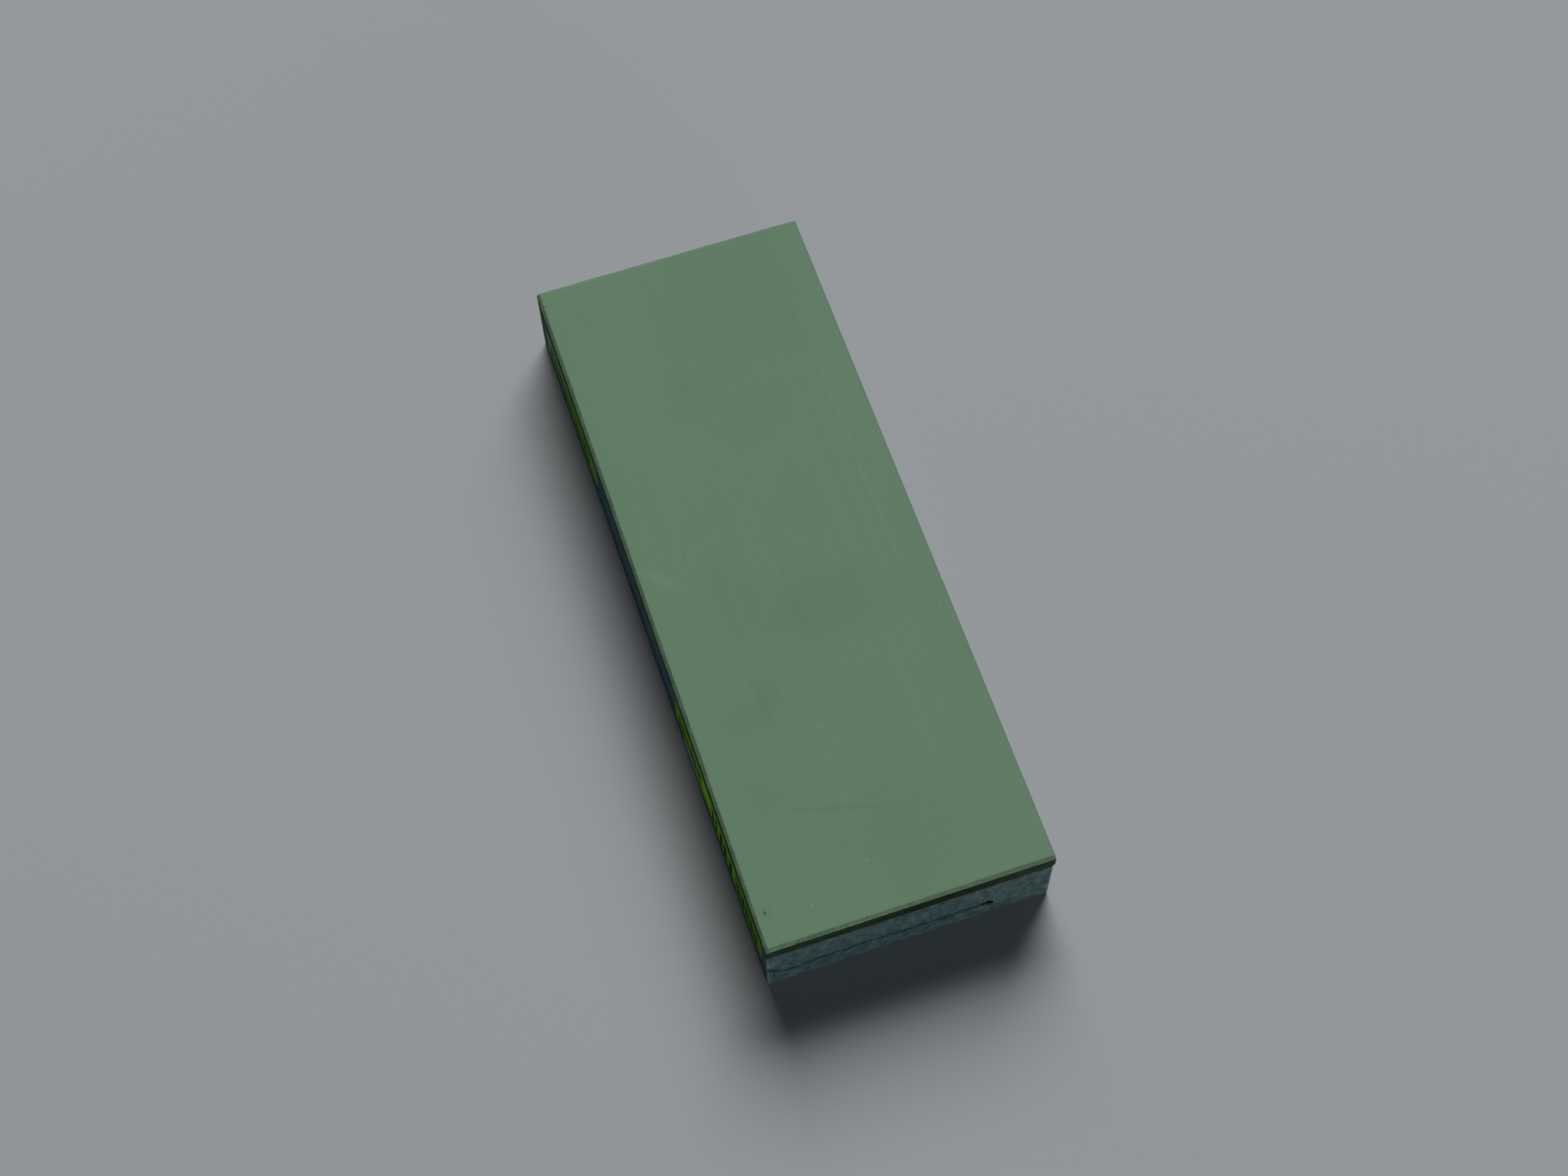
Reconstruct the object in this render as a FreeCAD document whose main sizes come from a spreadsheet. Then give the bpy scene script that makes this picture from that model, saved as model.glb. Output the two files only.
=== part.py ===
"""Two-layer bench whetstone: a thin fine-grit stone bonded to a thick backing stone, with two paper labels.

Frame, in millimetres: +X along the stone towards the near end, +Z up, and the labelled side faces -Y.
The origin is on the surface that the stone rests on, below the middle of the fine stone.
"""

import FreeCAD, Part
import os

import Sketcher

SIZES = [
    # alias, millimetres, what it sets
    ("stone_length", 202.4, "length of both stones: about 8 inches"),
    ("stone_width", 76.2, "width of the fine stone: 3 inches"),
    ("stone_height", 25.4, "whole height: 1 inch"),
    ("fine_thickness", 5.3, "fine stone, bevel included"),
    ("fine_bevel_width", 0.85, "hand-ground bevel round the sharpening face, across that face"),
    ("fine_bevel_drop", 1.05, "the same bevel, down the sides"),
    ("fine_arris", 0.25, "broken upright and lower edges of the fine stone"),
    ("bond_thickness", 0.2, "adhesive film between the stones"),
    ("bond_inset", 0.35, "how far the film stops short of the sides"),
    ("backing_width", 75.8, "backing stone, a little narrower than the fine stone"),
    ("backing_bevel", 0.3, "broken edge round the resting face"),
    ("backing_corner", 0.25, "broken upright edges"),
    ("backing_arris", 0.3, "broken edge under the bond"),
    ("pit_length", 3.6, "casting void in the near end face, across the stone"),
    ("pit_height", 2.6, "the same void, up the stone"),
    ("pit_depth", 1.7, "the same void, into the stone"),
    ("pit_offset", 20.2, "void to the fine stone's middle, towards +Y"),
    ("pit_level", 7.8, "void above the resting face"),
    ("label_height", 11.6, "both labels, up the side"),
    ("label_level", 7.6, "lower edge of both labels above the resting face"),
    ("label_thickness", 0.12, "paper and its gum"),
    ("label_corner", 0.7, "corner radius of the die-cut labels"),
    ("near_label_length", 69.6, "long label"),
    ("near_label_margin", 4.8, "near end of the stone to the long label"),
    ("far_label_length", 48.0, "short label"),
    ("far_label_margin", 7.2, "far end of the stone to the short label"),
]

BACKING_THICKNESS = "(Sizes.stone_height - Sizes.fine_thickness - Sizes.bond_thickness)"
LABELLED_SIDE = "(-Sizes.stone_width / 2)"
BACKING_MIDDLE = f"({LABELLED_SIDE} + Sizes.backing_width / 2)"

LEVEL_TOLERANCE = 1e-4


def make_sheet(doc):
    """Puts the driving dimensions in a spreadsheet, one alias to a row."""
    sheet = doc.addObject("Spreadsheet::Sheet", "Sizes")
    for row, (alias, value, meaning) in enumerate(SIZES, start=1):
        sheet.set(f"A{row}", alias)
        sheet.set(f"B{row}", str(value))
        sheet.set(f"C{row}", meaning)
        sheet.setAlias(f"B{row}", alias)
    doc.recompute()


def new_body(doc, label, x="0", y="0", z="0"):
    """A body with its own label, placed by expressions."""
    body = doc.addObject("PartDesign::Body", label)
    body.Label = label
    for axis, place in (("x", x), ("y", y), ("z", z)):
        body.setExpression(f"Placement.Base.{axis}", place)
    return body


def origin_plane(body, role):
    return next(feature for feature in body.Origin.OriginFeatures if feature.Role == role)


def centred_rectangle(body, role, length, height):
    """A rectangle sketch centred on the body's origin, with its two sides bound to expressions."""
    sketch = body.newObject("Sketcher::SketchObject", body.Name + "_outline")
    sketch.AttachmentSupport = [(origin_plane(body, role), "")]
    sketch.MapMode = "FlatFace"
    corners = [FreeCAD.Vector(x, y, 0) for x, y in ((-9, -4), (9, -4), (9, 4), (-9, 4))]
    for start, end in zip(corners, corners[1:] + corners[:1]):
        sketch.addGeometry(Part.LineSegment(start, end), False)
    for side in range(4):
        sketch.addConstraint(Sketcher.Constraint("Coincident", side, 2, (side + 1) % 4, 1))
    for side in (0, 2):
        sketch.addConstraint(Sketcher.Constraint("Horizontal", side))
        sketch.addConstraint(Sketcher.Constraint("Vertical", side + 1))
    sketch.addConstraint(Sketcher.Constraint("Symmetric", 0, 1, 2, 1, -1, 1))
    along = sketch.addConstraint(Sketcher.Constraint("DistanceX", 0, 1, 0, 2, 18.0))
    up = sketch.addConstraint(Sketcher.Constraint("DistanceY", 1, 1, 1, 2, 8.0))
    sketch.renameConstraint(along, "Along")
    sketch.renameConstraint(up, "Up")
    sketch.setExpression("Constraints.Along", length)
    sketch.setExpression("Constraints.Up", height)
    return sketch


def pad(body, sketch, thickness):
    feature = body.newObject("PartDesign::Pad", body.Name + "_slab")
    feature.Profile = sketch
    feature.setExpression("Length", thickness)
    body.Document.recompute()
    return feature


def edge_names(shape, wanted):
    """Names of the edges whose bounding box passes the test."""
    return [f"Edge{n}" for n, edge in enumerate(shape.Edges, start=1) if wanted(edge.BoundBox)]


def flat_at(level):
    """Edges that lie at one height."""
    return lambda box: abs(box.ZMin - level) < LEVEL_TOLERANCE and abs(box.ZMax - level) < LEVEL_TOLERANCE


def upright(box):
    return box.XLength < LEVEL_TOLERANCE and box.YLength < LEVEL_TOLERANCE


def hip(box):
    """Sloping edges where two bevels meet at a corner."""
    return min(box.XLength, box.YLength, box.ZLength) > LEVEL_TOLERANCE


def across_thickness(box):
    """Short edges along Y, at the corners of a label."""
    return box.XLength < LEVEL_TOLERANCE and box.ZLength < LEVEL_TOLERANCE


def dress(body, kind, suffix, base, names, size, second_size=None):
    """Adds a Fillet or Chamfer to the named edges of the body's last feature."""
    feature = body.newObject(f"PartDesign::{kind}", f"{body.Name}_{suffix}")
    feature.Base = (base, names)
    feature.setExpression("Radius" if kind == "Fillet" else "Size", size)
    if second_size:
        feature.ChamferType = "Two distances"
        feature.setExpression("Size2", second_size)
    body.Document.recompute()
    return feature


def make_fine_stone(doc):
    """The sharpening layer: a flat slab with a bevel round its top face, and every lower edge broken."""
    body = new_body(doc, "fine_stone", z="Sizes.stone_height - Sizes.fine_thickness")
    outline = centred_rectangle(body, "XY_Plane", "Sizes.stone_length", "Sizes.stone_width")
    slab = pad(body, outline, "Sizes.fine_thickness")
    top = edge_names(slab.Shape, flat_at(doc.Sizes.fine_thickness))
    bevel = dress(body, "Chamfer", "bevel", slab, top, "Sizes.fine_bevel_drop", "Sizes.fine_bevel_width")
    face = next(f.BoundBox for f in bevel.Shape.Faces if flat_at(doc.Sizes.fine_thickness)(f.BoundBox))
    inset = float(doc.Sizes.stone_length - face.XLength) / 2
    if abs(inset - float(doc.Sizes.fine_bevel_width)) > LEVEL_TOLERANCE:
        raise RuntimeError("the bevel of the fine stone lies the wrong way round")
    lower_edges = edge_names(bevel.Shape, lambda box: flat_at(0)(box) or upright(box) or hip(box))
    dress(body, "Chamfer", "arris", bevel, lower_edges, "Sizes.fine_arris")
    return body


def make_bond_film(doc):
    """The adhesive film, which stops short of the sides and leaves a fine dark line."""
    body = new_body(doc, "bond_film", y=BACKING_MIDDLE, z=BACKING_THICKNESS)
    length = "Sizes.stone_length - 2 * Sizes.bond_inset"
    width = "Sizes.backing_width - 2 * Sizes.bond_inset"
    pad(body, centred_rectangle(body, "XY_Plane", length, width), "Sizes.bond_thickness")
    return body


def make_backing_stone(doc):
    """The thick lower stone, flush with the fine stone on the labelled side, with a casting void in its end."""
    body = new_body(doc, "backing_stone", y=BACKING_MIDDLE)
    outline = centred_rectangle(body, "XY_Plane", "Sizes.stone_length", "Sizes.backing_width")
    slab = pad(body, outline, BACKING_THICKNESS)
    bottom = edge_names(slab.Shape, flat_at(0))
    bevel = dress(body, "Chamfer", "bevel", slab, bottom, "Sizes.backing_bevel")
    top = edge_names(bevel.Shape, flat_at(slab.Length.Value))
    arris = dress(body, "Chamfer", "arris", bevel, top, "Sizes.backing_arris")
    corner_edges = edge_names(arris.Shape, lambda box: upright(box) or hip(box))
    corners = dress(body, "Chamfer", "corners", arris, corner_edges, "Sizes.backing_corner")

    pit = body.newObject("PartDesign::SubtractiveEllipsoid", "backing_stone_pit")
    pit.AttachmentSupport = [(origin_plane(body, "XY_Plane"), "")]
    pit.MapMode = "FlatFace"
    pit.setExpression("Radius1", "Sizes.pit_height / 2")
    pit.setExpression("Radius2", "Sizes.pit_depth")
    pit.setExpression("Radius3", "Sizes.pit_length / 2")
    pit.setExpression("AttachmentOffset.Base.x", "Sizes.stone_length / 2")
    pit.setExpression("AttachmentOffset.Base.y", f"Sizes.pit_offset - {BACKING_MIDDLE}")
    pit.setExpression("AttachmentOffset.Base.z", "Sizes.pit_level")
    doc.recompute()
    if not pit.Shape.Volume < corners.Shape.Volume:
        raise RuntimeError("the void cuts nothing out of the backing stone")
    return body


def make_label(doc, name, length, middle):
    """A paper label gummed flat on the labelled side of the backing stone, with rounded corners."""
    body = new_body(doc, name, x=middle, y=LABELLED_SIDE, z="Sizes.label_level + Sizes.label_height / 2")
    outline = centred_rectangle(body, "XZ_Plane", length, "Sizes.label_height")
    sheet = pad(body, outline, "Sizes.label_thickness")
    if sheet.Shape.BoundBox.YMax > LEVEL_TOLERANCE:
        raise RuntimeError(f"{name} lies inside the stone")
    names = edge_names(sheet.Shape, across_thickness)
    dress(body, "Fillet", "corners", sheet, names, "Sizes.label_corner")
    return body


def make_labels(doc):
    near_middle = "Sizes.stone_length / 2 - Sizes.near_label_margin - Sizes.near_label_length / 2"
    far_middle = "-Sizes.stone_length / 2 + Sizes.far_label_margin + Sizes.far_label_length / 2"
    return [
        make_label(doc, "near_label", "Sizes.near_label_length", near_middle),
        make_label(doc, "far_label", "Sizes.far_label_length", far_middle),
    ]


def check(doc, parts):
    """Stops before anything is written if a feature failed or a shape isn't a sound solid."""
    failed = [o.Name for o in doc.Objects if "Invalid" in o.State or "Error" in o.State]
    if failed:
        raise RuntimeError(f"these objects failed to recompute: {failed}")
    for part in parts:
        shape = part.Shape
        if shape.isNull() or not shape.isValid() or len(shape.Solids) != 1:
            raise RuntimeError(f"{part.Label} is not one valid solid")


def write(parts):
    os.makedirs("parts", exist_ok=True)
    for part in parts:
        part.Shape.exportStep(f"parts/{part.Label}.step")
        box = part.Shape.optimalBoundingBox()
        print(
            f"{part.Label}: x {box.XMin:.2f} to {box.XMax:.2f}, y {box.YMin:.2f} to {box.YMax:.2f}, "
            f"z {box.ZMin:.2f} to {box.ZMax:.2f}, {part.Shape.Volume / 1000:.2f} cm3"
        )


def main():
    doc = FreeCAD.newDocument("whetstone")
    make_sheet(doc)
    parts = [make_fine_stone(doc), make_bond_film(doc), make_backing_stone(doc), *make_labels(doc)]
    doc.recompute()
    check(doc, parts)
    write(parts)


main()
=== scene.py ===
import math

import bpy
import numpy as np
from mathutils import Matrix, Vector


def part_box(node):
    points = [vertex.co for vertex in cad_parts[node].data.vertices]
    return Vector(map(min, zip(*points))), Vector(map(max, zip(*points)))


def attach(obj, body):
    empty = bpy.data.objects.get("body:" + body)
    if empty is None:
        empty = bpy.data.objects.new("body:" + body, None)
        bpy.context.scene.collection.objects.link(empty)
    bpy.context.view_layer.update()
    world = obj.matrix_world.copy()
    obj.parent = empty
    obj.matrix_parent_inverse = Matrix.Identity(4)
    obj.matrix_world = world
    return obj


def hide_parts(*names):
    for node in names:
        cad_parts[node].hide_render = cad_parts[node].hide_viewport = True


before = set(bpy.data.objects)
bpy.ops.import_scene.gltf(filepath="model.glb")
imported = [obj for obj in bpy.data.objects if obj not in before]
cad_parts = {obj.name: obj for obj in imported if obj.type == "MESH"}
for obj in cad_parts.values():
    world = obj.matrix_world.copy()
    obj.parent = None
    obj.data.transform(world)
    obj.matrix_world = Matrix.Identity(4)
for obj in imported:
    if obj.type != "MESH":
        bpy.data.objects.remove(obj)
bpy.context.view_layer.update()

mm = 0.001


def randomWaves(points, length, seed, count=12):
    # a smooth random field, nearly all within -1 to 1: plane sine waves of about this length, with random
    # headings and phases, added up and divided by the root of twice their number
    chance = np.random.default_rng(seed)
    heading = chance.normal(size=(count, 3))
    heading /= np.linalg.norm(heading, axis=1, keepdims=True)
    heading *= 2 * np.pi / (length * chance.uniform(0.7, 1.4, (count, 1)))
    phase = chance.uniform(0, 2 * np.pi, count)
    return np.sin(points @ heading.T + phase).sum(axis=-1) / math.sqrt(2 * count)


def squareOutline(sides):
    # points round a square of half size 1, anticlockwise from the corner (1, -1). sides gives each side's
    # number of points and how far they crowd to its ends: (1 - crowding) * t + crowding * sin(pi * t / 2)
    runs = []
    for count, crowding in sides:
        t = np.arange(count) / count * 2 - 1
        runs.append((1 - crowding) * t + crowding * np.sin(np.pi * t / 2))
    near, right, far, left = runs
    x = np.concatenate([np.ones_like(near), -right, -np.ones_like(far), left])
    y = np.concatenate([near, np.ones_like(right), -far, -np.ones_like(left)])
    return x, y


def ringOf(outline, inset, level):
    # one knot of a profile for every point of the outline: (inset, level)
    return np.stack(np.broadcast_arrays(inset + 0 * outline[0], level + 0 * outline[0]), axis=-1)


bendSteps = (0.33, 0.67, 1)     # places along the rounding of a knot


def softProfile(knots, softness, steps):
    # rings of (inset, level) along a line through the knots, each of shape (around, 2). A span is cut into
    # its steps, and an inner knot becomes the parabola (1-t)^2 * before + 2t(1-t) * knot + t^2 * after,
    # whose ends lie softness from the knot on either side
    rings = [knots[0]]
    for k in range(1, len(knots)):
        last = k == len(knots) - 1
        back = knots[k - 1] - knots[k]
        back = back / np.linalg.norm(back, axis=-1, keepdims=True)
        before = knots[k] if last else knots[k] + back * softness[k]
        start = rings[-1]
        rings += [start + (before - start) * s / steps[k - 1] for s in range(1, steps[k - 1] + 1)]
        if last or not np.any(softness[k]):
            continue
        ahead = knots[k + 1] - knots[k]
        after = knots[k] + ahead / np.linalg.norm(ahead, axis=-1, keepdims=True) * softness[k]
        rings += [(1 - t) ** 2 * before + 2 * t * (1 - t) * knots[k] + t ** 2 * after for t in bendSteps]
    return np.array(rings)


def slabPoints(outline, half, profile, corner):
    # the profile carried round the outline: a point is the square's point times the half sizes less the
    # inset, and in a corner's square it is drawn onto the corner's arc: arc centre + radius * unit direction
    x, y = outline
    reachX, reachY = half[0] - profile[..., 0], half[1] - profile[..., 0]
    atX, atY = x * reachX, y * reachY
    middleX = np.clip(atX, corner - reachX, reachX - corner)
    middleY = np.clip(atY, corner - reachY, reachY - corner)
    offX, offY = atX - middleX, atY - middleY
    onArc = corner / np.maximum(np.hypot(offX, offY), 1e-9)
    return np.stack([middleX + offX * onArc, middleY + offY * onArc, profile[..., 1]], axis=-1)


def wornCorner(outline, wear):
    # how many times rounder each point's corner is: wear for the quarter round (-1, -1), 1 for the others
    return np.where((outline[0] < 0) & (outline[1] < 0), wear, 1.0)


def gridNormals(points):
    # unit outward normals: the cross product of the step round the outline and the step up the profile
    around = np.roll(points, -1, axis=1) - np.roll(points, 1, axis=1)
    normal = np.cross(around, np.gradient(points, axis=0))
    return normal / np.maximum(np.linalg.norm(normal, axis=-1, keepdims=True), 1e-15)


def nearestRing(profile, inset, level):
    # the ring that passes closest to this inset and level at the outline's first point
    return int(np.argmin(np.hypot(profile[:, 0, 0] - inset, profile[:, 0, 1] - level)))


def knockChips(points, ring, chips):
    # small bowls knocked out of the edge that one ring follows: a point moves inwards by
    # depth * (1 - (distance / radius)^2)^1.5, and most of the radii are near the smaller one
    chance = np.random.default_rng(chips["seed"])
    inward = -gridNormals(points)[ring]
    for _ in range(chips["count"]):
        at = chance.integers(points.shape[1])
        small, large = chips["radius"]
        radius = small + (large - small) * chance.random() ** 4
        distance = np.linalg.norm(points - points[ring, at], axis=-1)
        bowl = np.clip(1 - (distance / radius) ** 2, 0, 1) ** 1.5
        points += inward[at] * (chips["depth"] * radius * bowl)[..., None]


def makeShell(name, points, materials, masks=None):
    # quads between neighbouring rings, with the first and last rings closed by one flat face each
    rings, around = points.shape[:2]
    index = np.arange(rings * around).reshape(rings, around)
    beside = np.roll(index, -1, axis=1)
    quads = np.stack([index[:-1], beside[:-1], beside[1:], index[1:]], axis=-1).reshape(-1, 4)
    faces = quads.tolist() + [index[0, ::-1].tolist(), index[-1].tolist()]
    mesh = bpy.data.meshes.new(name)
    mesh.from_pydata(points.reshape(-1, 3).tolist(), [], faces)
    mesh.polygons.foreach_set("use_smooth", np.ones(len(faces), bool))
    for mask, values in (masks or {}).items():
        attribute = mesh.attributes.new(mask, "FLOAT", "POINT")
        attribute.data.foreach_set("value", values.astype(np.float32).ravel())
    for material in materials:
        mesh.materials.append(material)
    piece = bpy.data.objects.new(name, mesh)
    bpy.context.scene.collection.objects.link(piece)
    return piece


def falloff(distance, reach):
    # 1 at no distance, 0 at the reach: the smooth step 1 - 3q^2 + 2q^3 of q = distance / reach
    q = np.clip(distance / reach, 0, 1)
    return 1 - 3 * q ** 2 + 2 * q ** 3


def startMaterial(name, sockets):
    material = bpy.data.materials.new(name)
    material.use_nodes = True
    shader = material.node_tree.nodes["Principled BSDF"]
    for socket, value in sockets.items():
        shader.inputs[socket].default_value = value
    return material, material.node_tree, shader


def addNode(tree, kind, sockets, **settings):
    made = tree.nodes.new("ShaderNode" + kind)
    for key, value in settings.items():
        setattr(made, key, value)
    for socket, value in sockets.items():
        if isinstance(value, bpy.types.NodeSocket):
            tree.links.new(value, made.inputs[socket])
        else:
            made.inputs[socket].default_value = value
    return made


def placeOf(tree):
    return addNode(tree, "TexCoord", {}).outputs["Object"]


def maskOf(tree, name):
    return addNode(tree, "Attribute", {}, attribute_name=name).outputs["Fac"]


def maths(tree, operation, a, b=0.0):
    return addNode(tree, "Math", {0: a, 1: b}, operation=operation).outputs[0]


def swing(tree, value, middle, share):
    # how far the value is from its middle, times a share
    return maths(tree, "MULTIPLY", maths(tree, "SUBTRACT", value, middle), share)


def spread(tree, value, low, high, least=0.0, most=1.0):
    sockets = {"Value": value, "From Min": low, "From Max": high, "To Min": least, "To Max": most}
    return addNode(tree, "MapRange", sockets, interpolation_type="SMOOTHSTEP").outputs[0]


def blendColour(tree, share, first, second):
    sockets = {0: share, 6: first, 7: second}
    return addNode(tree, "Mix", sockets, data_type="RGBA").outputs[2]


def shaded(tree, colour, factor):
    # the colour times a grey factor
    return addNode(tree, "VectorMath", {0: colour, "Scale": factor}, operation="SCALE").outputs[0]


def noise(tree, where, perMetre, detail=3.0, roughness=0.55, stretch=(1, 1, 1)):
    scaled = addNode(tree, "Mapping", {"Vector": where, "Scale": tuple(perMetre * s for s in stretch)})
    sockets = {"Vector": scaled.outputs[0], "Scale": 1.0, "Detail": detail, "Roughness": roughness}
    return addNode(tree, "TexNoise", sockets).outputs["Fac"]


def spotMask(tree, where, centre, radii, turn=0.0, edge=1.0):
    # 1 inside an ellipsoid, easing to 0 at its surface. edge is the share of the radius that eases
    sockets = {"Vector": where, "Location": centre, "Rotation": (0, 0, turn), "Scale": radii}
    local = addNode(tree, "Mapping", sockets, vector_type="TEXTURE").outputs[0]
    length = addNode(tree, "VectorMath", {0: local}, operation="LENGTH").outputs["Value"]
    return spread(tree, length, 1.0, 1.0 - edge)


def largest(tree, values):
    total = values[0]
    for value in values[1:]:
        total = maths(tree, "MAXIMUM", total, value)
    return total


def addBump(tree, shader, height, distance, strength):
    sockets = {"Height": height, "Distance": distance, "Strength": strength}
    bump = addNode(tree, "Bump", sockets)
    tree.links.new(bump.outputs[0], shader.inputs["Normal"])


fineStone = dict(
    bevelAcross=0.82 * mm,      # middle width of the hand-ground bevel, across the sharpening face
    bevelDown=1.07 * mm,        # the same bevel, down the sides
    unevenness=0.09,            # share by which the bevel's width wanders
    wanderLengths=(60 * mm, 11 * mm),
    softness=0.07 * mm,         # rounding of the bevel's two arrises
    farSoftness=0.40 * mm,      # the upper arris at the far end is rubbed rounder
    lowerArris=0.25 * mm,
    corner=0.30 * mm,
    innerCorner=0.08 * mm,
    farLeftWear=3.0,            # the far corner over the labels is rubbed this many times rounder
    sawn=0.02 * mm,             # unevenness of the sides, over lengths of about sawnLength
    sawnLength=5 * mm,
    sides=[(240, 0.7), (520, 0.7), (240, 0.7), (520, 0.7)],
    chips=dict(seed=11, count=34, radius=(0.35 * mm, 0.75 * mm), depth=0.20),
    perMetre=dict(push=70, uneven=22, streak=260, grain=3200, coarse=1100, ragged=500, blotch=420,
                  pores=2600),  # how fine each noise is
    face=(0.184, 0.299, 0.190, 1),
    mottle=(0.161, 0.268, 0.166, 1),
    # the freshly ground bevel's colour, lighter than the face, partly as painted light
    ground=(0.240, 0.405, 0.230, 1),
    skin=(0.0175, 0.0315, 0.0148, 1),
    # the skin is darkest about this y, and lighter away from it: from and to a distance, then two shares
    skinMiddle=6 * mm,
    skinShade=(4 * mm, 34 * mm, 0.66, 1.1),
    # duller, bluer edge colour; at the far end it is a painted sky reflection
    rubbed=(0.128, 0.226, 0.180, 1),
    farSheen=(-99.9 * mm, -100.5 * mm),     # the far end's edges are painted duller and bluer as a painted sky reflection, and the right edges are duller and bluer
    rightRub=(37.0 * mm, 37.6 * mm),
    pale=(0.31, 0.44, 0.33, 1),
    paleLine=(0.265, 0.430, 0.275, 1),
    scuff=(0.212, 0.355, 0.270, 1),
    stain=(0.035, 0.06, 0.06, 1),
    pushedBy=14 * mm,           # how far the patches' outlines are pushed about
    # duller patches, then paler lines rubbed along the stone: x, y, reach along x and along y in
    # millimetres, turn in degrees and strength
    dullPatches=[(16, 6, 14, 24, -6, 0.52), (7, -15, 17, 12, 0, 0.34), (-46, 8, 13, 17, 12, 0.34),
                 (-56, -7, 12, 12, 20, 0.34), (36, -15, 9, 4.5, -15, 0.50), (40.5, -22, 6, 10, 10, 0.38),
                 (-80, 10, 32, 26, 0, 0.34), (-94, 24, 11, 6, 0, 0.34), (-86, 2.6, 5, 4, 0, 0.30),
                 (84, 2, 20, 22, 0, 0.16), (-16, 11, 16, 9, 0, 0.20), (-17, -15, 5, 9, 30, 0.26),
                 (62, -25, 7, 5, 0, 0.26)],
    paleLines=[(-14, 28.9, 84, 1.7, 0.3, 0.085), (-5, 26.2, 70, 2.8, 0, 0.04), (22, 22.0, 32, 1.3, 2, 0.05),
               (68, 11.9, 16, 0.9, 0, 0.05), (70, -6.8, 18, 0.8, 0, 0.04), (-60, -29, 36, 5, 3, 0.03)],
    # single marks: x, y, reach along x and along y in millimetres, turn in degrees and how soft the rim is
    scratch=(71.2, -8.9, 0.85, 28, -16, 0.7),
    scuffMark=(-4.2, -31.8, 1.9, 10.5, -46, 1.0),
    nick=(86.4, -6.8, 0.9, 0.15, 11.46, 0.8),
    halo=(91.4, -35.0, 2.9, 2.4, 0, 1.0),
    paleSpecks=[(48.6, -6.4, 0.35), (37.1, 21, 0.3), (26.2, 35, 0.3), (-70.7, 30.5, 0.3), (93.3, -23.5, 0.35),
                (-100.6, 0, 0.45), (-44, -37.6, 0.5)],      # x, y and radius in millimetres
    darkSpecks=[(14.6, -0.8, 0.22), (-8.6, -24.3, 0.35), (73.9, 21.9, 0.3), (91.5, -35.1, 0.8)],
)


def faceMark(tree, where, x, y, alongX, alongY, turn=0.0, edge=1.0, deep=3.0):
    # a spot on the sharpening face. All are in millimetres but the turn, in degrees, and the edge
    middle = (x * mm, y * mm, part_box("fine_stone")[1].z)
    return spotMask(tree, where, middle, (alongX * mm, alongY * mm, deep * mm), math.radians(turn), edge)


def weighedMarks(tree, where, marks, edge):
    # the strongest of several broad spots, each times its own share
    return largest(tree, [
        maths(tree, "MULTIPLY", faceMark(tree, where, x, y, alongX, alongY, turn, edge, deep=30.0), share)
        for x, y, alongX, alongY, turn, share in marks])


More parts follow.
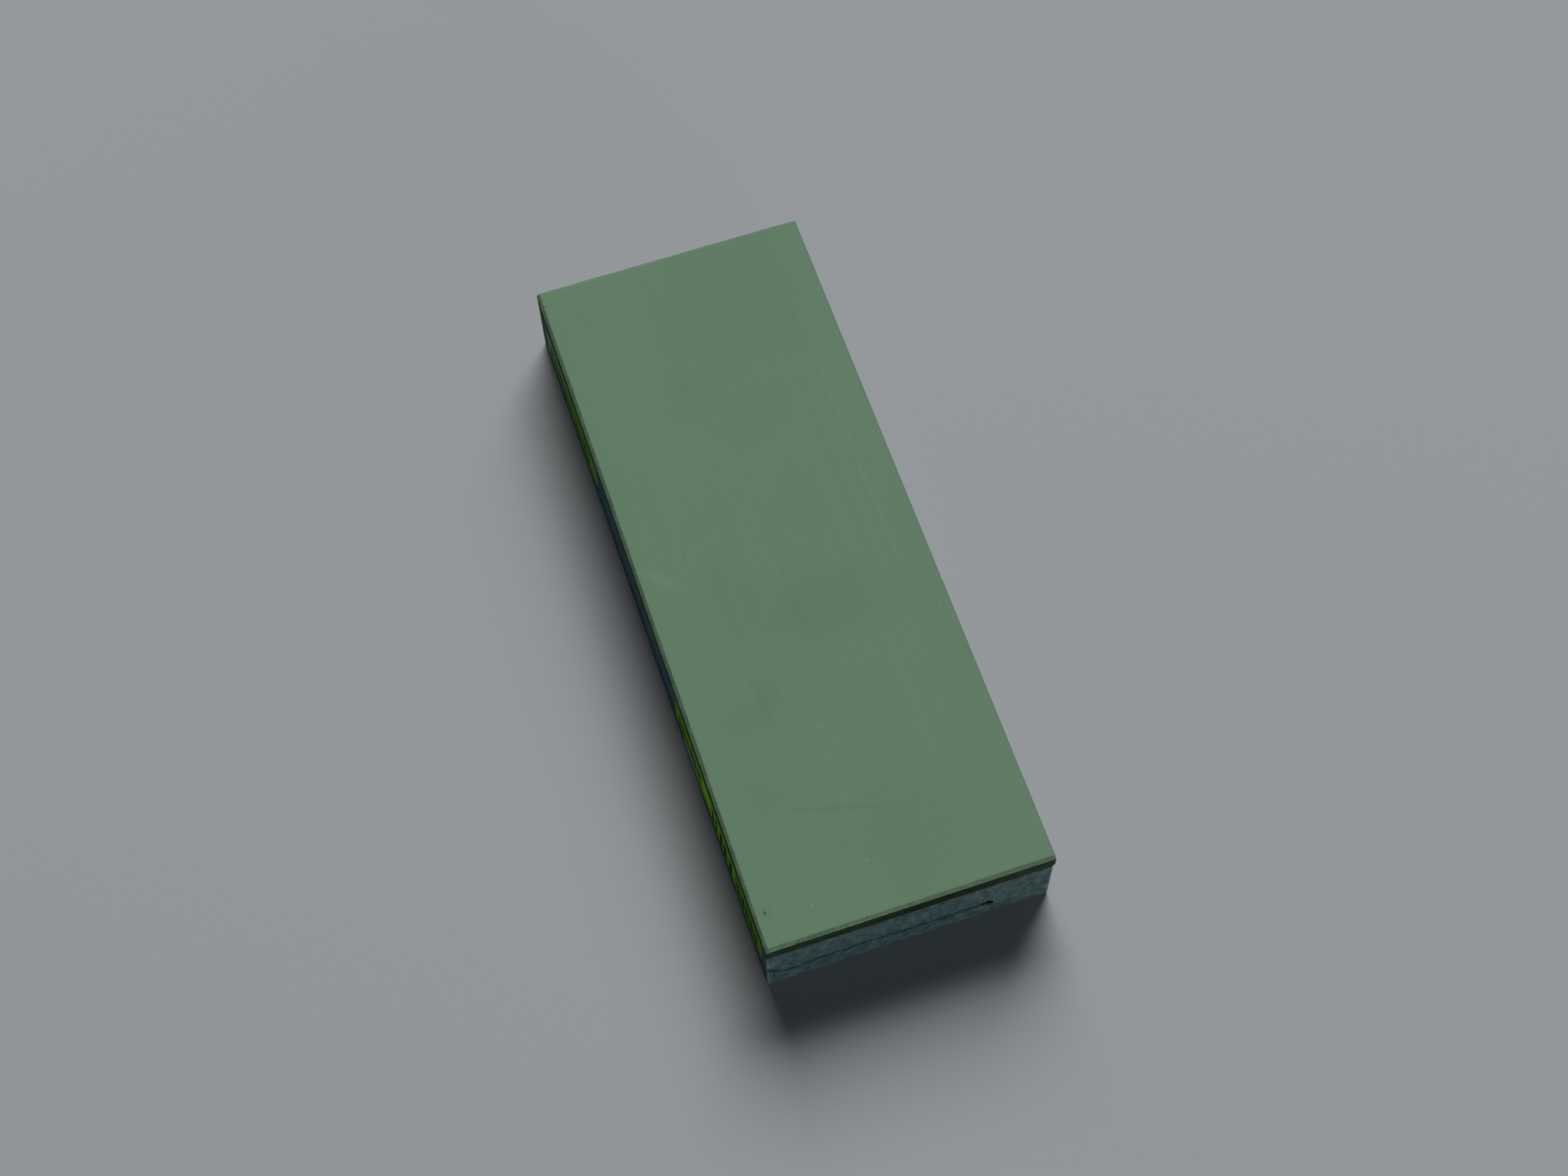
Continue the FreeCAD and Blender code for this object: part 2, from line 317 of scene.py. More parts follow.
def finePaint():
    material, tree, shader = startMaterial("fineStoneSage", {"Roughness": 0.8, "Specular IOR Level": 0.12})
    where = placeOf(tree)
    axes = addNode(tree, "SeparateXYZ", {"Vector": where}).outputs
    perMetre = fineStone["perMetre"]

    # the patches have ragged outlines, from places pushed about by a coarse noise
    sockets = {"Vector": where, "Scale": perMetre["push"], "Detail": 3.0}
    push = addNode(tree, "TexNoise", sockets).outputs["Color"]
    push = addNode(tree, "VectorMath", {0: push, 1: (0.5, 0.5, 0.5)}, operation="SUBTRACT").outputs[0]
    push = shaded(tree, push, fineStone["pushedBy"])
    pushed = addNode(tree, "VectorMath", {0: where, 1: push}, operation="ADD").outputs[0]
    patches = weighedMarks(tree, pushed, fineStone["dullPatches"], 0.7)
    uneven = spread(tree, noise(tree, where, perMetre["uneven"], detail=2), 0.35, 0.7)
    share = maths(tree, "ADD", maths(tree, "MULTIPLY", uneven, 0.15), patches)
    colour = blendColour(tree, share, fineStone["face"], fineStone["mottle"])

    # rubbing along the stone leaves faint lengthwise streaks, and a few paler lines
    streak = noise(tree, where, perMetre["streak"], detail=3, stretch=(0.02, 1, 1))
    lines = weighedMarks(tree, where, fineStone["paleLines"], 1.0)
    lines = maths(tree, "MULTIPLY", lines, spread(tree, streak, 0.3, 0.6, 0.6, 1.3))
    colour = blendColour(tree, lines, colour, fineStone["paleLine"])
    lift = swing(tree, streak, 0.45, 0.07)
    grain = swing(tree, noise(tree, where, perMetre["grain"], detail=2), 0.5, 0.14)
    coarse = swing(tree, noise(tree, where, perMetre["coarse"], stretch=(0.5, 1, 1)), 0.5, 0.10)
    factor = maths(tree, "ADD", maths(tree, "ADD", lift, 1.0), maths(tree, "ADD", grain, coarse))
    colour = shaded(tree, colour, factor)

    # a soft dark scratch, a pale scuff by the left edge, a short pale scratch, specks and a stain
    scratch = maths(tree, "MULTIPLY", faceMark(tree, where, *fineStone["scratch"]), 0.5)
    colour = blendColour(tree, scratch, colour, fineStone["mottle"])
    rubbedOff = spread(tree, noise(tree, where, perMetre["ragged"]), 0.3, 0.65, 0.12, 0.62)
    scuffed = maths(tree, "MULTIPLY", faceMark(tree, where, *fineStone["scuffMark"]), rubbedOff)
    colour = blendColour(tree, scuffed, colour, fineStone["scuff"])
    pale = [faceMark(tree, where, x, y, r, r) for x, y, r in fineStone["paleSpecks"]]
    nick = faceMark(tree, where, *fineStone["nick"])
    colour = blendColour(tree, largest(tree, [nick, *pale]), colour, fineStone["pale"])
    halo = maths(tree, "MULTIPLY", faceMark(tree, where, *fineStone["halo"]), 0.75)
    colour = blendColour(tree, halo, colour, fineStone["mottle"])
    dark = [faceMark(tree, where, x, y, r, 0.7 * r) for x, y, r in fineStone["darkSpecks"]]
    colour = blendColour(tree, largest(tree, dark), colour, fineStone["stain"])

    # the bevel is freshly ground and painted lighter, partly as painted light that differs by side, and the
    # unworked sides keep a dark skin
    ragged = spread(tree, noise(tree, where, perMetre["ragged"]), 0.3, 0.7)
    groundAndLitBevel = blendColour(tree, ragged, fineStone["ground"], fineStone["mottle"])
    # painted light: the bevel mask carries how much lighter each side's bevel is painted
    colour = blendColour(tree, maskOf(tree, "bevel"), colour, groundAndLitBevel)
    # painted sky reflection on the far end's edges, and duller, bluer right edges
    sheenAndRub = largest(tree, [spread(tree, axes["X"], *fineStone["farSheen"]),
                             spread(tree, axes["Y"], *fineStone["rightRub"], 0.0, 0.6)])
    colour = blendColour(tree, sheenAndRub, colour, fineStone["rubbed"])
    blotch = spread(tree, noise(tree, where, perMetre["blotch"], detail=4), 0.3, 0.7, 0.75, 1.3)
    aside = maths(tree, "ABSOLUTE", maths(tree, "SUBTRACT", axes["Y"], fineStone["skinMiddle"]))
    blotch = maths(tree, "MULTIPLY", blotch, spread(tree, aside, *fineStone["skinShade"]))
    colour = blendColour(tree, maskOf(tree, "skin"), colour, shaded(tree, fineStone["skin"][:3], blotch))
    tree.links.new(colour, shader.inputs["Base Color"])

    pores = noise(tree, where, perMetre["pores"], detail=2)
    addBump(tree, shader, maths(tree, "ADD", pores, maths(tree, "MULTIPLY", streak, 0.6)), 0.02 * mm, 0.5)
    return material


def makeFineStone(material):
    low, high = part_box("fine_stone")
    half = ((high.x - low.x) / 2, (high.y - low.y) / 2)
    outline = squareOutline(fineStone["sides"])
    edge = np.stack([outline[0] * half[0], outline[1] * half[1], np.full_like(outline[0], high.z)], axis=-1)
    long, short = fineStone["wanderLengths"]
    wander = randomWaves(edge, long, seed=4) + 0.5 * randomWaves(edge, short, seed=5)
    share = 1 + fineStone["unevenness"] * wander
    across, down = fineStone["bevelAcross"] * share, fineStone["bevelDown"] * share
    arris = fineStone["lowerArris"]

    # the knots well inside the edge only divide the flat faces
    knots = [ringOf(outline, inset, level) for inset, level in (
        (30 * mm, low.z), (2 * mm, low.z), (arris, low.z), (0, low.z + arris), (0, high.z - down),
        (across, high.z), (across + 3 * mm, high.z), (12 * mm, high.z))]
    soft = fineStone["softness"]
    atFarEnd = falloff(1 + outline[0], 0.006)
    upper = (soft + (fineStone["farSoftness"] - soft) * atFarEnd)[:, None]
    profile = softProfile(knots, [0, 0, 0.1 * mm, 0.1 * mm, soft, upper, 0, 0], [3, 4, 2, 12, 4, 5, 3])
    cornerRadius = np.interp(profile[:, :1, 0], [0, 1 * mm], [fineStone["corner"], fineStone["innerCorner"]])
    cornerRadius = cornerRadius * wornCorner(outline, fineStone["farLeftWear"])
    points = slabPoints(outline, half, profile, cornerRadius)

    # the sides are sawn, so they are a little uneven, and only ever inwards
    underBevel = high.z - down - profile[..., 1]
    below = np.clip(underBevel / (0.4 * mm), 0, 1)
    waves = randomWaves(points * (1, 1, 3), fineStone["sawnLength"], seed=8)
    sawn = fineStone["sawn"] * (1 + waves) * below
    points -= gridNormals(points) * np.clip(sawn, 0, None)[..., None]

    knockChips(points, nearestRing(profile, 0, high.z - down[0]), fineStone["chips"])
    knockChips(points, nearestRing(profile, across[0], high.z), {**fineStone["chips"], "seed": 12})

    # the bevel is painted lighter by side as painted light: least on the right and at the far end
    blur = 0.06 * mm
    skin = np.clip(underBevel / blur, 0, 1)
    bevelSideLight = np.clip(0.48 + 0.30 * outline[0] - 0.65 * outline[1], 0, 1)
    bevel = np.clip((high.z - profile[..., 1]) / blur, 0, 1) * bevelSideLight
    piece = makeShell("fineStoneBody", points, [material], {"skin": skin, "bevel": bevel})
    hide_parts("fine_stone")
    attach(piece, "root")


backingStone = dict(
    bevel=0.28 * mm,            # broken edge round the resting face
    bevelWander=0.06 * mm,
    wanderLengths=(40 * mm, 8 * mm),
    arris=0.30 * mm,
    corner=0.40 * mm,
    innerCorner=0.30 * mm,
    farLeftWear=2.0,
    sides=[(300, 0.35), (300, 0.86), (170, 0.5), (300, 0.86)],
    chips=dict(seed=21, count=60, radius=(0.4 * mm, 1.6 * mm), depth=0.2),
    unevenness=(0.022 * mm, 0.012 * mm),
    unevenLengths=(12 * mm, 2.5 * mm),
    veinDepth=0.25 * mm,
    veinWidth=0.30 * mm,
    veinStain=1.05 * mm,        # how far the stain beside the vein reaches
    veinWobble=0.28 * mm,       # how far it strays from its course, over lengths of about veinRagged
    veinRagged=1.6 * mm,
    veinBlots=6 * mm,           # spacing of its thicker places
    veinHalo=4.5 * mm,
    # the void: its half sizes, its middle, and how much it drops for each length towards +Y
    pit=dict(across=2.2 * mm, up=1.5 * mm, deep=1.6 * mm, y=20.2 * mm, z=7.35 * mm, lean=0.20),
    pinholeDepth=0.35 * mm,
    # the vein on the near end as y and z, and the pinholes there as y, z and two radii, in mm
    vein=[(-38.0, 10.8), (-36.9, 9.6), (-35.1, 7.9), (-32.6, 7.0), (-29.6, 6.7), (-24.6, 7.6), (-20.6, 8.0),
          (-17.6, 7.5), (-12.6, 8.1), (-4.6, 7.5), (3.4, 7.4), (8.4, 7.2), (10.9, 7.6), (18.6, 7.6)],
    pinholes=[(-31.9, 10.1, 0.8, 0.9), (-33.6, 3.5, 1.1, 0.6), (-36.3, 6.2, 0.45, 3.4),
              (-4.3, 18.9, 0.5, 0.5), (16.0, 17.2, 0.5, 0.5)],
    perMetre=dict(patches=540, dashes=900, grit=2400, broad=60, pores=1500, roughness=4200),
    body=(0.074, 0.132, 0.138, 1),
    dark=(0.041, 0.077, 0.084, 1),
    light=(0.134, 0.200, 0.192, 1),
    sideSkyShade=(1.07, 1.20, 1.30, 1),   # the labelled side is painted a little bluer than the rest, as painted sky-lit shade
    rightTint=(1.10, 1.02, 0.98, 1),  # and the side away from the labels a little warmer
    warmReach=(8 * mm, 30 * mm),      # the y from which and to which that comes in
    footPaintedShade=(3 * mm, 12 * mm, 0.94, 1.0),     # painted shade, darker low down: from and to a height, then two shares
    worn=(0.24, 0.34, 0.35, 1),
    stain=(0.015, 0.025, 0.046, 1),
    blue=(0.050, 0.108, 0.150, 1),
    # painted shade: near black inside the pit, the pinholes and a little in the vein's crack
    hollowShade=(0.003, 0.004, 0.006, 1),
    underJointBand=dict(z=(19.1 * mm, 19.7 * mm), y=(-32 * mm, 2 * mm), share=(0.05, 0.62)),
)

# the dried smear: places where it starts, fades and ends along the stone, and its upper and lower edges.
# past the fade its upper edge drops
slurry = dict(
    colour=(0.28, 0.49, 0.40, 1),
    start=(29.0 * mm, 30.8 * mm),
    fade=(43 * mm, 51 * mm),
    faded=0.12,
    drop=2.2 * mm,
    end=(98 * mm, 84 * mm),
    upper=(7.4 * mm, 5.8 * mm),
    lower=(-1.2 * mm, 1.2 * mm),
    wobble=5 * mm,
    perMetre=dict(start=230, edge=130, streak=420),
)


def slurryMask(tree, where):
    # a smear of dried slurry low on the labelled side: sharp at its far end, fading towards the near end
    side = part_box("backing_stone")[0].y
    axes = addNode(tree, "SeparateXYZ", {"Vector": where}).outputs
    along, up = axes["X"], axes["Z"]
    perMetre = slurry["perMetre"]
    shift = maths(tree, "MULTIPLY", noise(tree, where, perMetre["start"], detail=4), slurry["wobble"])
    start = spread(tree, maths(tree, "SUBTRACT", along, shift), *slurry["start"])
    fade = spread(tree, along, *slurry["fade"], 1.0, slurry["faded"])
    end = spread(tree, along, *slurry["end"])
    wobble = maths(tree, "MULTIPLY", noise(tree, where, perMetre["edge"], detail=4), slurry["wobble"])
    level = maths(tree, "SUBTRACT", up, wobble)
    lowered = maths(tree, "ADD", level, spread(tree, along, *slurry["fade"], 0.0, slurry["drop"]))
    upper = spread(tree, lowered, *slurry["upper"])
    lower = spread(tree, level, *slurry["lower"])
    outside = spread(tree, axes["Y"], side + 0.5 * mm, side + 0.2 * mm)
    streaks = noise(tree, where, perMetre["streak"], detail=4, stretch=(0.25, 1, 1))
    streaks = spread(tree, streaks, 0.28, 0.55, 0.35, 1.0)
    mask = start
    for part in (fade, end, upper, lower, outside, streaks):
        mask = maths(tree, "MULTIPLY", mask, part)
    return mask


def backingPaint():
    material, tree, shader = startMaterial("backingStoneGrey", {"Roughness": 0.9, "Specular IOR Level": 0.03})
    where = placeOf(tree)
    axes = addNode(tree, "SeparateXYZ", {"Vector": where}).outputs
    mottle = maskOf(tree, "mottle")
    perMetre = backingStone["perMetre"]

    # cloudy patches a few millimetres across, drawn out upwards, with finer ones inside them
    patches = noise(tree, where, perMetre["patches"], detail=5, roughness=0.62, stretch=(1, 1, 0.6))
    light = maths(tree, "MULTIPLY", spread(tree, patches, 0.48, 0.68), maths(tree, "MULTIPLY", mottle, 0.82))
    dark = maths(tree, "MULTIPLY", spread(tree, patches, 0.50, 0.32), maths(tree, "MULTIPLY", mottle, 0.80))
    colour = blendColour(tree, light, backingStone["body"], backingStone["light"])
    colour = blendColour(tree, dark, colour, backingStone["dark"])

    # short dark dashes, and salt-and-pepper grit
    dashes = spread(tree, noise(tree, where, perMetre["dashes"], detail=2, stretch=(1, 1, 0.3)), 0.66, 0.74)
    dashes = maths(tree, "MULTIPLY", dashes, maths(tree, "MULTIPLY", mottle, 0.55))
    colour = blendColour(tree, dashes, colour, backingStone["dark"])
    grit = swing(tree, noise(tree, where, perMetre["grit"], detail=2), 0.5, 0.7)
    broad = swing(tree, noise(tree, where, perMetre["broad"], detail=2), 0.5, 0.3)
    factor = maths(tree, "ADD", maths(tree, "ADD", grit, broad), 0.93)
    # painted shade towards the foot
    footShading = spread(tree, axes["Z"], *backingStone["footPaintedShade"])
    colour = shaded(tree, colour, maths(tree, "MULTIPLY", factor, footShading))
    warmth = spread(tree, axes["Y"], *backingStone["warmReach"])
    tint = blendColour(tree, warmth, (1, 1, 1, 1), backingStone["rightTint"])
    # painted sky-lit shade: the labelled side is tinted bluer
    tint = blendColour(tree, maskOf(tree, "shaded"), tint, backingStone["sideSkyShade"])
    colour = addNode(tree, "VectorMath", {0: colour, 1: tint}, operation="MULTIPLY").outputs[0]

    rubbed = maths(tree, "MULTIPLY", maskOf(tree, "worn"), 0.9)
    colour = blendColour(tree, rubbed, colour, backingStone["worn"])
    colour = blendColour(tree, maskOf(tree, "blued"), colour, backingStone["blue"])
    colour = blendColour(tree, maskOf(tree, "stained"), colour, backingStone["stain"])
    # painted shade in the pit, the pinholes and the crack
    colour = blendColour(tree, maskOf(tree, "hollowShade"), colour, backingStone["hollowShade"])
    colour = blendColour(tree, slurryMask(tree, where), colour, slurry["colour"])

    # darker just under the joint, most of it on the right
    underJointBand = backingStone["underJointBand"]
    underJoint = maths(tree, "MULTIPLY", spread(tree, axes["Z"], *underJointBand["z"]),
                 spread(tree, axes["Y"], *underJointBand["y"], *underJointBand["share"]))
    colour = blendColour(tree, underJoint, colour, adhesive["dusty"])
    tree.links.new(colour, shader.inputs["Base Color"])

    pores = spread(tree, noise(tree, where, perMetre["pores"], detail=3, roughness=0.6), 0.35, 0.6)
    roughness = maths(tree, "MULTIPLY", noise(tree, where, perMetre["roughness"], detail=1), 0.5)
    addBump(tree, shader, maths(tree, "ADD", pores, roughness), 0.06 * mm, 0.7)
    return material


def makeBackingStone(material):
    low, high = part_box("backing_stone")
    half = ((high.x - low.x) / 2, (high.y - low.y) / 2)
    outline = squareOutline(backingStone["sides"])
    edge = np.stack([outline[0] * half[0], outline[1] * half[1], np.full_like(outline[0], low.z)], axis=-1)
    long, short = backingStone["wanderLengths"]
    wander = randomWaves(edge, long, seed=14) + 0.6 * randomWaves(edge, short, seed=15)
    bevel = backingStone["bevel"] + backingStone["bevelWander"] * wander
    arris = backingStone["arris"]

    # the middle stretch of the side is where the vein runs, so its rows are closest
    knots = [ringOf(outline, inset, level) for inset, level in (
        (34 * mm, low.z), (3 * mm, low.z), (bevel, low.z), (0, low.z + bevel), (0, low.z + 6 * mm),
        (0, low.z + 11 * mm), (0, high.z - arris), (arris, high.z), (20 * mm, high.z))]
    softness = [0, 0, 0.1 * mm, 0.1 * mm, 0, 0, 0.1 * mm, 0.1 * mm, 0]
    profile = softProfile(knots, softness, [3, 4, 2, 16, 30, 22, 2, 3])
    radii = [backingStone["corner"], backingStone["innerCorner"]]
    cornerRadius = np.interp(profile[:, :1, 0], [0, 2 * mm], radii)
    cornerRadius = cornerRadius * wornCorner(outline, backingStone["farLeftWear"])
    points = slabPoints(outline, half, profile, cornerRadius)
    points[..., 0] += (low.x + high.x) / 2
    points[..., 1] += (low.y + high.y) / 2
    normal = gridNormals(points)

    # all relief goes inwards from the flat faces: the unevenness, the vein, the pit and the pinholes
    upright = np.abs(normal[..., 2]) < 0.1
    onNearEnd = np.clip(normal[..., 0], 0, 1) * upright
    depth = np.zeros_like(onNearEnd)
    for deep, length, seed in zip(backingStone["unevenness"], backingStone["unevenLengths"], (16, 17)):
        depth += deep * (1 + randomWaves(points, length, seed))

    y, z = points[..., 1], points[..., 2]
    veinY, veinZ = np.array(backingStone["vein"]).T * mm
    ragged = randomWaves(points, backingStone["veinRagged"], seed=18)
    fromVein = np.abs(z - np.interp(y, veinY, veinZ) + backingStone["veinWobble"] * ragged)
    blots = np.clip(1 + 0.40 * randomWaves(points, backingStone["veinBlots"], seed=19), 0.55, 1.7)
    along = onNearEnd * falloff(y - veinY[-1], 0.5 * mm)
    crack = np.exp(-(fromVein / (backingStone["veinWidth"] * blots)) ** 2) * along
    stained = np.exp(-(fromVein / (backingStone["veinStain"] * blots)) ** 2) * along
    blued = 0.45 * falloff(fromVein, backingStone["veinHalo"]) * along * falloff(y - veinY[0], 44 * mm)
    depth += backingStone["veinDepth"] * crack

    pit = backingStone["pit"]
    fromPitY = y - pit["y"]
    taper = np.clip(0.95 + 0.45 * fromPitY / pit["across"], 0.5, 1.3)      # a wedge, tallest on the right
    pitZ = pit["z"] - pit["lean"] * fromPitY
    outward = np.hypot(fromPitY / pit["across"], (z - pitZ) / pit["up"] / taper) * (1 + 0.10 * ragged)
    bowl = np.sqrt(np.clip(1 - outward ** 2, 0, 1)) * onNearEnd
    depth += pit["deep"] * bowl
    holes = 0 * y
    for holeY, holeZ, across, up in backingStone["pinholes"]:
        away = np.hypot((y / mm - holeY) / across, (z / mm - holeZ) / up)
        holes = np.maximum(holes, falloff(away, 1) * onNearEnd)
    depth += backingStone["pinholeDepth"] * holes
    points -= normal * np.clip(depth, 0, None)[..., None] * (profile[..., 0] < 2 * mm)[..., None]

    knockChips(points, nearestRing(profile, 0, low.z + bevel[0]), backingStone["chips"])
    points[..., 2] = np.clip(points[..., 2], low.z, high.z)

    # where the upright and the lower edges are rubbed pale
    fromCorner = np.hypot(half[0] - np.abs(points[..., 0]), half[1] - np.abs(y - (low.y + high.y) / 2))
    fromBottom = np.hypot(profile[..., 0], np.clip(z - bevel, 0, None))
    rubbed = 0.5 + 0.5 * randomWaves(points, 4 * mm, seed=23)
    worn = np.maximum(falloff(fromCorner, 0.9 * mm), 0.5 * falloff(fromBottom, 0.5 * mm))
    worn *= np.clip(rubbed, 0.3, 1)
    rim = falloff(np.abs(outward - 1.15), 0.3) * (z > pitZ) * onNearEnd * 0.5
    masks = {
        "mottle": 0.8 + 0.2 * np.abs(normal[..., 0]) * upright,
        "shaded": np.clip(-normal[..., 1], 0, 1) * upright,
        "worn": np.maximum(worn, rim),
        "blued": blued,
        "stained": np.clip(0.44 * stained + 0.50 * crack, 0, 1),
        # painted shade in the hollows
        "hollowShade": np.clip(3.2 * bowl + 0.8 * holes + 0.3 * crack, 0, 1),
    }
    piece = makeShell("backingStoneBody", points, [material], masks)
    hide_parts("backing_stone")
    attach(piece, "root")


adhesive = dict(deep=(0.012, 0.016, 0.016, 1), dusty=(0.03, 0.04, 0.036, 1), perMetre=500)


def adhesivePaint():
    material, tree, shader = startMaterial("adhesiveFilm", {"Roughness": 0.6, "Specular IOR Level": 0.2})
    where = placeOf(tree)
    share = spread(tree, noise(tree, where, adhesive["perMetre"], detail=3), 0.3, 0.7)
    colour = blendColour(tree, share, adhesive["deep"], adhesive["dusty"])
    tree.links.new(colour, shader.inputs["Base Color"])
    return material


label = dict(
    face=0.100 * mm,            # how far the sheet's face stands off the stone
    sunk=0.080 * mm,            # how far its back lies under the stone's flat side
    inkFoot=0.05 * mm,
    inkTop=0.118 * mm,
    inkCorner=0.2 * mm,
    corner=0.7 * mm,
    sag=0.004 * mm,             # unevenness of the sheet, over lengths of about sagLength
    sagLength=8 * mm,
    perMetre=dict(shade=130, pores=900, ink=1800),
    sides=[(34, 0.8), (130, 0.9), (34, 0.8), (130, 0.9)],
    lime=(0.265, 0.770, 0.008, 1),
    deepLime=(0.215, 0.640, 0.007, 1),
    # painted grey sheen for the far label
    greySheen=(0.28, 0.46, 0.27, 1),
    paper=(0.45, 0.58, 0.34, 1),
    ink=(0.012, 0.018, 0.012, 1),
    thinInk=(0.03, 0.06, 0.02, 1),
    # painted shade as the brightness of the colour, and painted sheen as the strength of the grey, along the
    # stone: from x to x, and from share to share
    nearShade=(56 * mm, 92 * mm, 1.0, 0.54),
    shadeSteps=[(-10 * mm, 10 * mm, 0.76, 1.0), (46 * mm, 50 * mm, 0.76, 1.0)],
    sheenAlong=(-60 * mm, -94 * mm, 0.07, 0.60),
    # blocks of printed strokes: first x, last x, middle z, height, mean stroke and mean gap, in millimetres
    nearPrint=[(29.4, 47.4, 12.4, 7.2, 0.95, 0.95), (57.4, 72.8, 12.4, 9.0, 1.7, 1.5),
               (76.8, 92.6, 12.4, 7.6, 1.1, 0.8)],
    farPrint=[(-66.0, -53.4, 12.6, 6.6, 1.0, 1.2), (-90.0, -69.0, 12.4, 6.4, 0.8, 0.9)],
)


def limePaint():
    material, tree, shader = startMaterial("labelLime", {"Roughness": 0.6, "Specular IOR Level": 0.0})
    where = placeOf(tree)
    share = spread(tree, noise(tree, where, label["perMetre"]["shade"], detail=4), 0.3, 0.7)
    colour = blendColour(tree, share, label["lime"], label["deepLime"])

    # painted shade and sheen: the near label is painted brightest in its middle and darker towards the near
    # end, the far one darker, with a painted grey sheen towards its far end
    along = addNode(tree, "SeparateXYZ", {"Vector": where}).outputs["X"]
    paintedShading = spread(tree, along, *label["nearShade"])
    for step in label["shadeSteps"]:
        paintedShading = maths(tree, "MULTIPLY", paintedShading, spread(tree, along, *step))
    colour = shaded(tree, colour, paintedShading)
    onFarLabel = spread(tree, along, 10 * mm, -10 * mm)
    # painted grey sheen towards the far label's far end
    sheenShare = maths(tree, "MULTIPLY", spread(tree, along, *label["sheenAlong"]), onFarLabel)
    colour = blendColour(tree, sheenShare, colour, label["greySheen"])
    colour = blendColour(tree, maskOf(tree, "cut"), colour, label["paper"])
    colour = blendColour(tree, slurryMask(tree, where), colour, slurry["colour"])
    tree.links.new(colour, shader.inputs["Base Color"])
    addBump(tree, shader, noise(tree, where, label["perMetre"]["pores"], detail=4), 0.02 * mm, 0.35)
    return material


def inkPaint():
    material, tree, shader = startMaterial("labelInk", {"Roughness": 0.6, "Specular IOR Level": 0.0})
    where = placeOf(tree)
    share = spread(tree, noise(tree, where, label["perMetre"]["ink"], detail=3), 0.3, 0.75)
    colour = blendColour(tree, share, label["ink"], label["thinInk"])
    tree.links.new(colour, shader.inputs["Base Color"])
    return material


def onLabelledSide(points, x, z):
    # from the slab's own axes (along, up, out of the stone) to the labelled side of the stone
    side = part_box("backing_stone")[0].y
    return np.stack([points[..., 0] + x, side - points[..., 2], points[..., 1] + z], axis=-1)


def makeLabel(node, name, material):
    low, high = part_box(node)
    half = ((high.x - low.x) / 2, (high.z - low.z) / 2)
    outline = squareOutline(label["sides"])
    face, back = label["face"], -label["sunk"]
    knots = [ringOf(outline, inset, level) for inset, level in (
        (3 * mm, back), (0, back), (0, face), (1 * mm, face), (5 * mm, face))]
    profile = softProfile(knots, [0, 0, 0.03 * mm, 0, 0], [2, 2, 4, 4])
    points = slabPoints(outline, half, profile, np.full((len(profile), 1), label["corner"]))

    # the cut edge shows bare paper, and the face is a little uneven, only ever inwards
    cut = (profile[..., 1] < face - 0.005 * mm) * 1.0
    sag = label["sag"] * (1 + randomWaves(points, label["sagLength"], seed=31)) * (1 - cut)
    points[..., 2] -= np.clip(sag, 0, None)
    placed = onLabelledSide(points, (low.x + high.x) / 2, (low.z + high.z) / 2)
    piece = makeShell(name, placed, [material], {"cut": cut})
    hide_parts(node)
    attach(piece, "root")


def strokesOf(blocks, seed):
    # fills each block with upright strokes of uneven width, height and gap, as (middle x, middle z, width,
    # height)
    chance = np.random.default_rng(seed)
    strokes = []
    for first, last, level, height, width, gap in blocks:
        at = first
        while at < last:
            thick = width * chance.uniform(0.6, 1.5)
            tall = height * chance.uniform(0.86, 1.0)
            middle = level + (height - tall) * chance.uniform(-0.5, 0.5)
            strokes.append((at + thick / 2, middle, thick, tall))
            at += thick + gap * chance.uniform(0.6, 1.5)
    return strokes


def makePrint(name, strokes, material):
    # every stroke is a thin slab with rounded corners, and all are joined in one mesh
    outline = squareOutline([(4, 0.5)] * 4)
    around = len(outline[0])
    parts, faces = [], []
    for x, z, thick, tall in strokes:
        profile = np.array([ringOf(outline, 0, level) for level in (label["inkFoot"], label["inkTop"])])
        half = (thick / 2 * mm, tall / 2 * mm)
        points = slabPoints(outline, half, profile, np.full((2, 1), label["inkCorner"]))
        index = 2 * around * len(parts) + np.arange(2 * around).reshape(2, around)
        beside = np.roll(index, -1, axis=1)
        parts.append(onLabelledSide(points, x * mm, z * mm).reshape(-1, 3))
        faces += np.stack([index[0], beside[0], beside[1], index[1]], axis=-1).tolist()
        faces += [index[0, ::-1].tolist(), index[1].tolist()]
    mesh = bpy.data.meshes.new(name)
    mesh.from_pydata(np.concatenate(parts).tolist(), [], faces)
    mesh.materials.append(material)
    piece = bpy.data.objects.new(name, mesh)
    bpy.context.scene.collection.objects.link(piece)
    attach(piece, "root")


cameraView = dict(
    aim=(-0.0029, 0.0014, 0.0016),
    azimuth=72.86,              # degrees round the stone, 0 looking along +Y
    elevation=63.45,
    roll=-1.67,
    distance=0.6765,
    lens=57.05,
)

studio = dict(
    floorReach=6,
    floorColour=(0.46, 0.47, 0.485, 1),
    worldColour=(0.82, 0.92, 1.0, 1),
    worldStrength=0.03,
    key=dict(place=(-8.4, 3.55, 7.8), size=(8.4, 7.8), power=1530, colour=(0.98, 0.99, 1.0)),
    fill=dict(place=(2.0, 0.35, 0.13), size=(1.2, 0.2), power=12.4, colour=(0.97, 0.99, 1.0)),
)


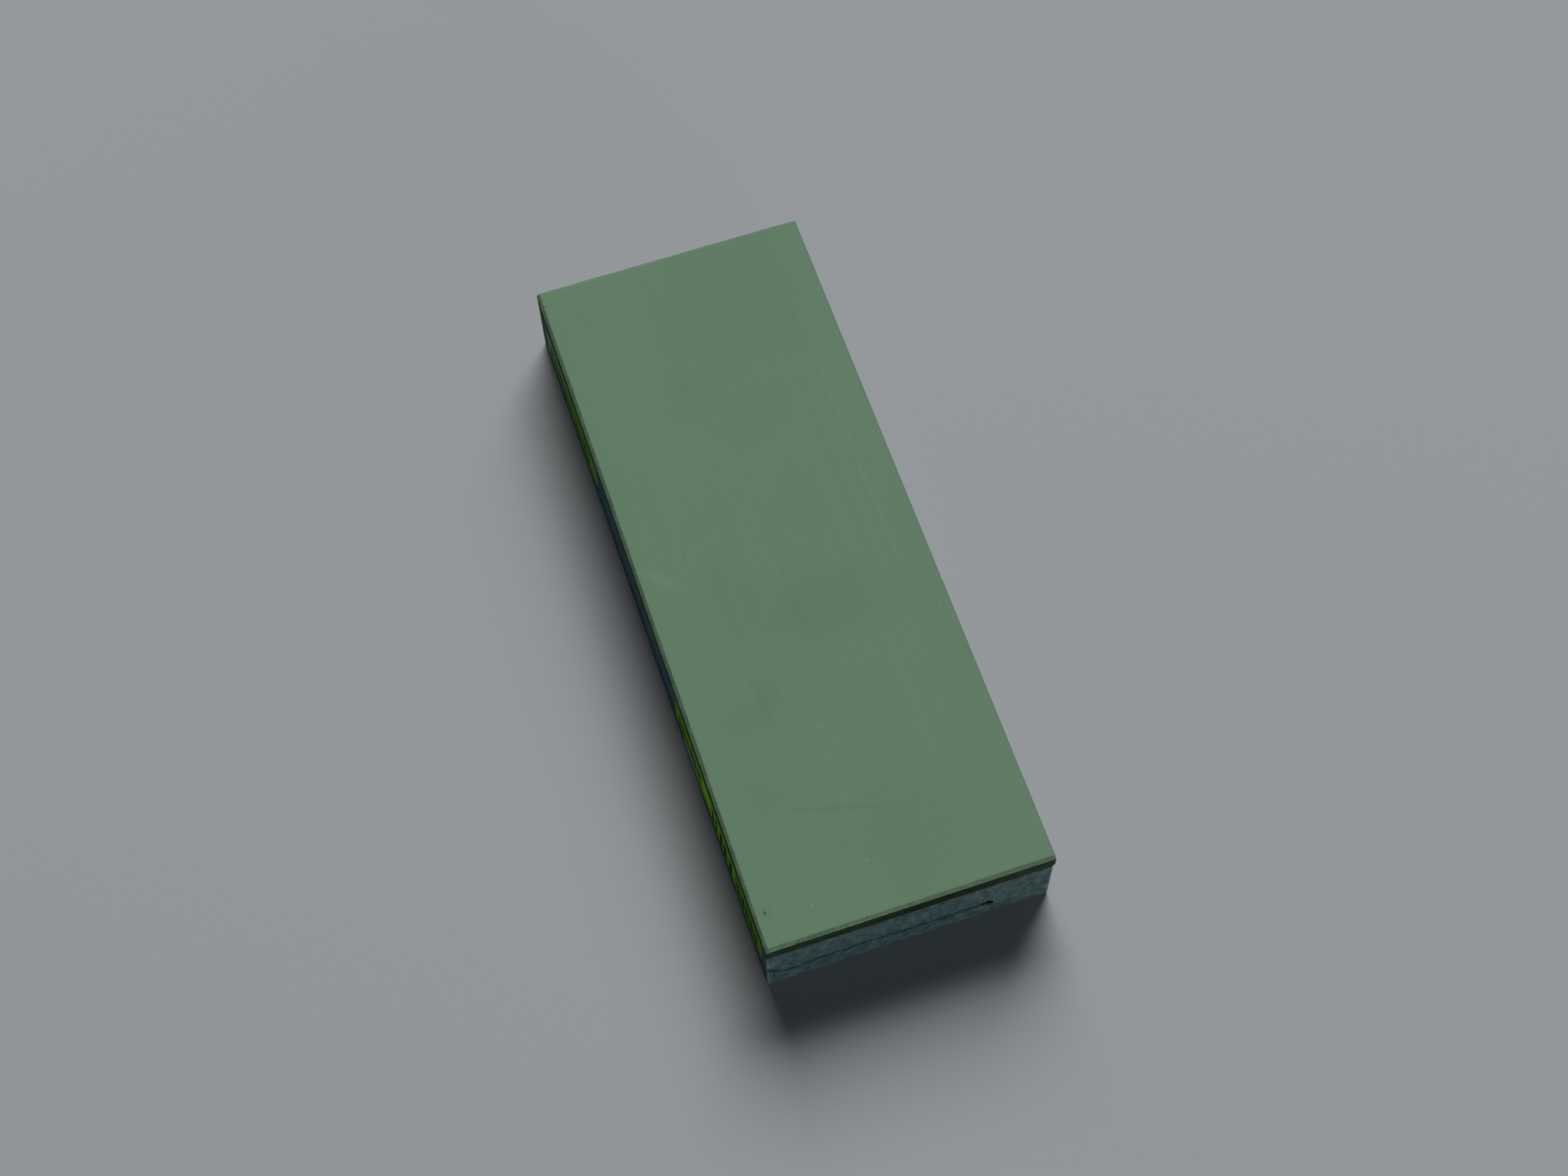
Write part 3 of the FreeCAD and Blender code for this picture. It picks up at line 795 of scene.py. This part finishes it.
def makeCamera():
    turn, rise = math.radians(cameraView["azimuth"]), math.radians(cameraView["elevation"])
    roll = math.radians(cameraView["roll"])
    back = Vector((math.sin(turn) * math.cos(rise), -math.cos(turn) * math.cos(rise), math.sin(rise)))
    level = Vector((math.cos(turn), math.sin(turn), 0))
    right = level * math.cos(roll) + back.cross(level) * math.sin(roll)
    camera = bpy.data.objects.new("camera", bpy.data.cameras.new("camera"))
    camera.data.lens = cameraView["lens"]
    camera.data.clip_start = 0.01
    axes = Matrix((right, back.cross(right), back)).transposed().to_4x4()
    camera.matrix_world = Matrix.Translation(Vector(cameraView["aim"]) + back * cameraView["distance"]) @ axes
    bpy.context.scene.collection.objects.link(camera)
    bpy.context.scene.camera = camera


def makeFloor():
    reach = studio["floorReach"]
    corners = [(-reach, -reach, 0), (reach, -reach, 0), (reach, reach, 0), (-reach, reach, 0)]
    mesh = bpy.data.meshes.new("floor")
    mesh.from_pydata(corners, [], [(0, 1, 2, 3)])
    sockets = {"Base Color": studio["floorColour"], "Roughness": 0.9, "Specular IOR Level": 0.2}
    mesh.materials.append(startMaterial("floorPale", sockets)[0])
    floor = bpy.data.objects.new("floor", mesh)
    bpy.context.scene.collection.objects.link(floor)


def addLight(name, lamp):
    light = bpy.data.lights.new(name, "AREA")
    light.shape = "RECTANGLE"
    light.size, light.size_y = lamp["size"]
    light.energy = lamp["power"]
    light.color = lamp["colour"]
    shown = bpy.data.objects.new(name, light)
    shown.location = lamp["place"]
    shown.rotation_euler = (-shown.location).to_track_quat("-Z", "Y").to_euler()
    bpy.context.scene.collection.objects.link(shown)


def makeLights():
    scene = bpy.context.scene
    scene.world = bpy.data.worlds.new("studio")
    scene.world.use_nodes = True
    sky = scene.world.node_tree.nodes["Background"]
    sky.inputs["Color"].default_value = studio["worldColour"]
    sky.inputs["Strength"].default_value = studio["worldStrength"]
    addLight("keyLight", studio["key"])
    addLight("fillLight", studio["fill"])
    scene.view_settings.view_transform = "Standard"


makeCamera()
print("camera placed")
makeFineStone(finePaint())
print("fine stone made")
makeBackingStone(backingPaint())
print("backing stone made")
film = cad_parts["bond_film"]
film.data.materials.clear()
film.data.materials.append(adhesivePaint())
lime, ink = limePaint(), inkPaint()
makeLabel("near_label", "nearLabelSheet", lime)
makeLabel("far_label", "farLabelSheet", lime)
makePrint("nearLabelPrint", strokesOf(label["nearPrint"], seed=41), ink)
makePrint("farLabelPrint", strokesOf(label["farPrint"], seed=42), ink)
print("labels made")
makeFloor()
makeLights()
print("floor and lights made")
